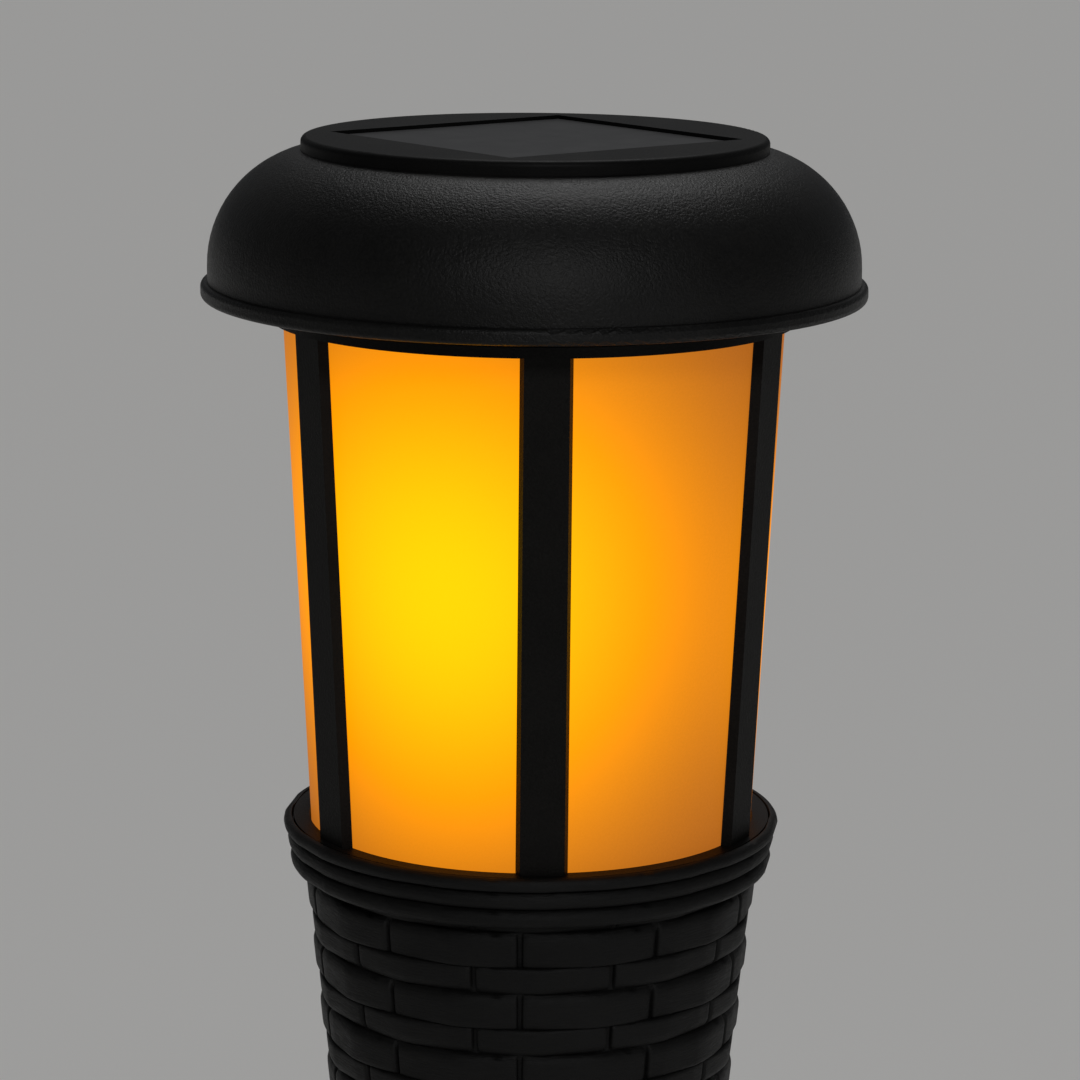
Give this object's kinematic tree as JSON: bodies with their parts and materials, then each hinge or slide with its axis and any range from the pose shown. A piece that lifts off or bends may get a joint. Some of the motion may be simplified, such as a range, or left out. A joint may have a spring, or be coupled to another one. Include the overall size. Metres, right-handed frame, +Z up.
{
  "type": "solar torch light",
  "caption": "Black solar garden torch: domed cap with a square panel, lit ribbed lantern, woven-look tapered basket, two-piece pole and ground stake.",
  "frame": {"origin": "on the torch's axis at soil level, the underside of the stake's flange", "axes": "+Z up along the pole, -Y the front that the panel's corner and one rib point towards"},
  "size_m": [0.127, 0.127, 1.0802],
  "materials": {
    "bezel_plastic": "fine-textured black",
    "solar_cell": "dark grey cell under a clear satin resin",
    "foam_pad": "white foam tape",
    "hood_plastic": "spark-textured black moulding",
    "inner_plastic": "plain black moulding",
    "screw_steel": "zinc-plated",
    "cell_sleeve": "shrink sleeve",
    "spring_steel": "nickel-plated",
    "board_laminate": "solder mask",
    "component_plastic": "moulded components",
    "knob_plastic": "plain black",
    "lead_insulation": "insulated leads",
    "core_plastic": "white moulding",
    "flex_film": "printed film",
    "led_lens": "amber lamps",
    "seal_rubber": "matt black",
    "frame_plastic": "fine-textured black moulding",
    "diffuser_plastic": "frosted, lit from inside",
    "basket_plastic": "black moulding with a weave in relief",
    "socket_plastic": "plain black moulding",
    "pole_coat": "smooth satin black tube",
    "stake_plastic": "plain black moulding"
  },
  "bodies": {
    "ground_stake": {"ground_stake": "stake_plastic"},
    "lower_pole": {"lower_pole": "pole_coat", "pole_coupler": "socket_plastic"},
    "upper_pole": {"upper_pole": "pole_coat"},
    "top_plug": {"pole_top_plug": "inner_plastic"},
    "head": {"pole_socket": "socket_plastic", "socket_screws": "screw_steel", "basket": "basket_plastic", "frame_screws": "screw_steel", "lantern_frame": "frame_plastic", "diffuser": "diffuser_plastic", "light_baffle": "core_plastic"},
    "cap_seal": {"cap_seal": "seal_rubber"},
    "cap": {"hood": "hood_plastic", "panel_bezel": "bezel_plastic", "solar_panel": "solar_cell", "panel_pad": "foam_pad", "cap_base": "inner_plastic", "hood_screws": "screw_steel", "battery": "cell_sleeve", "battery_spring": "spring_steel", "battery_contact": "spring_steel", "battery_cover": "inner_plastic", "cover_screw": "screw_steel", "circuit_board": "board_laminate", "board_parts": "component_plastic", "board_screws": "screw_steel", "switch_body": "spring_steel", "panel_leads": "lead_insulation", "battery_leads": "lead_insulation", "led_leads": "lead_insulation", "led_core": "core_plastic", "led_flex": "flex_film", "leds": "led_lens"},
    "switch_knob": {"switch_knob": "knob_plastic"}
  },
  "joints": [
    {"name": "lower_pole_pull", "type": "slide", "parent": "ground_stake", "child": "lower_pole", "axis": [0, 0, 1], "range_m": [0, 0.04]},
    {"name": "upper_pole_pull", "type": "slide", "parent": "lower_pole", "child": "upper_pole", "axis": [0, 0, 1], "range_m": [0, 0.04]},
    {"name": "head_swivel", "type": "hinge", "parent": "upper_pole", "child": "top_plug", "pos_m": [0, 0, 0.592], "axis": [0, 0, 1], "continuous": true},
    {"name": "head_lift", "type": "slide", "parent": "top_plug", "child": "head", "axis": [0, 0, 1], "range_m": [0, 0.04]},
    {"name": "cap_lift", "type": "slide", "parent": "head", "child": "cap_seal", "axis": [0, 0, 1], "range_m": [0, 0.12]},
    {"name": "cap_twist", "type": "hinge", "parent": "cap_seal", "child": "cap", "pos_m": [0, 0, 0.8837], "axis": [0, 0, 1], "range_deg": [-15, 0]},
    {"name": "switch_slide", "type": "slide", "parent": "cap", "child": "switch_knob", "axis": [1, 0, 0], "range_m": [0, 0.003]}
  ]
}
